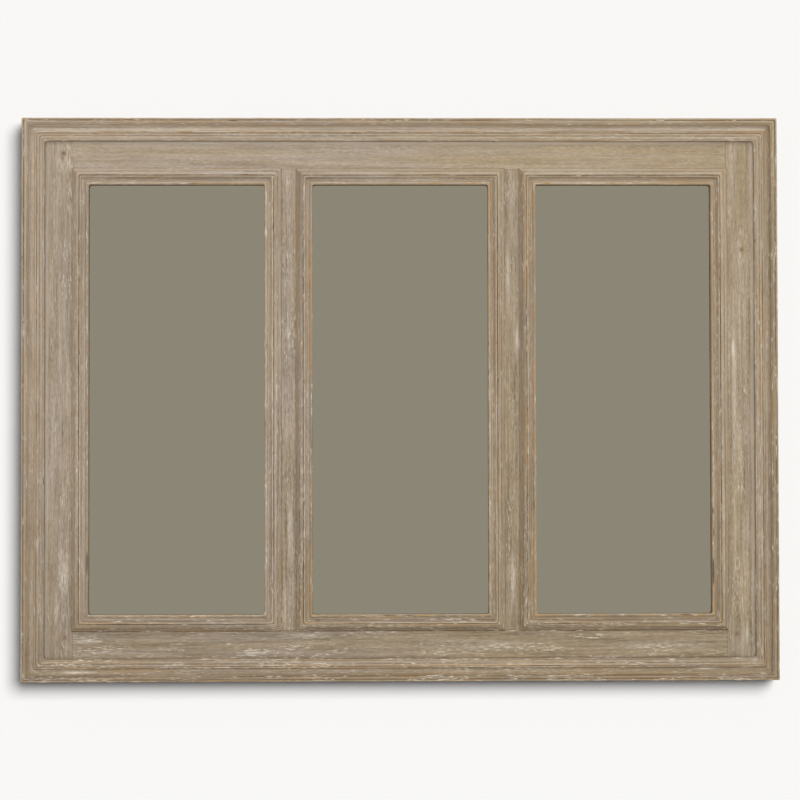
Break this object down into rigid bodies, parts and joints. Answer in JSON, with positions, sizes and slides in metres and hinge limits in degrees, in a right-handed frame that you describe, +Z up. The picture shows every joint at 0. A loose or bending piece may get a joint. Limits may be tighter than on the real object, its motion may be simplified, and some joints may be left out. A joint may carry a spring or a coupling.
{
  "type": "panelled wall mirror",
  "caption": "Wide wall mirror of upright panes in a limed wooden frame with stepped, mitred mouldings, hung from hinged D-rings on its back.",
  "frame": {"origin": "centre of the back panel's rear face, which lies in the plane of the frame's back", "axes": "+X to the right as seen from the front, +Y out of the back towards the wall, +Z up"},
  "size_m": [1.2, 0.045, 0.893],
  "materials": {
    "limed_boards": "limed and waxed, worn",
    "limed_mouldings": "limed and waxed, worn",
    "mirror_glass": "silvered float glass",
    "bare_pine": "planed, unfinished",
    "hardboard": "pressed board, unfinished",
    "zinc_steel": "zinc plated",
    "zinc_wire": "zinc plated",
    "zinc_screws": "zinc plated",
    "rubber": "moulded, matt"
  },
  "bodies": {
    "frame": {"left_stile": "limed_boards", "right_stile": "limed_boards", "top_rail": "limed_boards", "bottom_rail": "limed_boards", "left_mullion": "limed_boards", "right_mullion": "limed_boards", "outer_moulding_top": "limed_mouldings", "outer_moulding_bottom": "limed_mouldings", "outer_moulding_left": "limed_mouldings", "outer_moulding_right": "limed_mouldings", "left_panel_moulding_top": "limed_mouldings", "left_panel_moulding_bottom": "limed_mouldings", "left_panel_moulding_left": "limed_mouldings", "left_panel_moulding_right": "limed_mouldings", "centre_panel_moulding_top": "limed_mouldings", "centre_panel_moulding_bottom": "limed_mouldings", "centre_panel_moulding_left": "limed_mouldings", "centre_panel_moulding_right": "limed_mouldings", "right_panel_moulding_top": "limed_mouldings", "right_panel_moulding_bottom": "limed_mouldings", "right_panel_moulding_left": "limed_mouldings", "right_panel_moulding_right": "limed_mouldings", "left_mirror_pane": "mirror_glass", "centre_mirror_pane": "mirror_glass", "right_mirror_pane": "mirror_glass", "left_glazing_bead_top": "bare_pine", "left_glazing_bead_bottom": "bare_pine", "left_glazing_bead_left": "bare_pine", "left_glazing_bead_right": "bare_pine", "centre_glazing_bead_top": "bare_pine", "centre_glazing_bead_bottom": "bare_pine", "centre_glazing_bead_left": "bare_pine", "centre_glazing_bead_right": "bare_pine", "right_glazing_bead_top": "bare_pine", "right_glazing_bead_bottom": "bare_pine", "right_glazing_bead_left": "bare_pine", "right_glazing_bead_right": "bare_pine", "back_panel": "hardboard", "back_panel_screws": "zinc_screws", "left_hanger_strap": "zinc_steel", "left_hanger_screws": "zinc_screws", "right_hanger_strap": "zinc_steel", "right_hanger_screws": "zinc_screws", "left_bumper": "rubber", "right_bumper": "rubber"},
    "left_ring": {"left_hanger_ring": "zinc_wire"},
    "right_ring": {"right_hanger_ring": "zinc_wire"}
  },
  "joints": [
    {"name": "left_ring_swing", "type": "hinge", "parent": "frame", "child": "left_ring", "pos_m": [-0.57, 0.00305, 0.3065], "axis": [1, 0, 0], "range_deg": [0, 178]},
    {"name": "right_ring_swing", "type": "hinge", "parent": "frame", "child": "right_ring", "pos_m": [0.57, 0.00305, 0.3065], "axis": [1, 0, 0], "range_deg": [0, 178]}
  ]
}
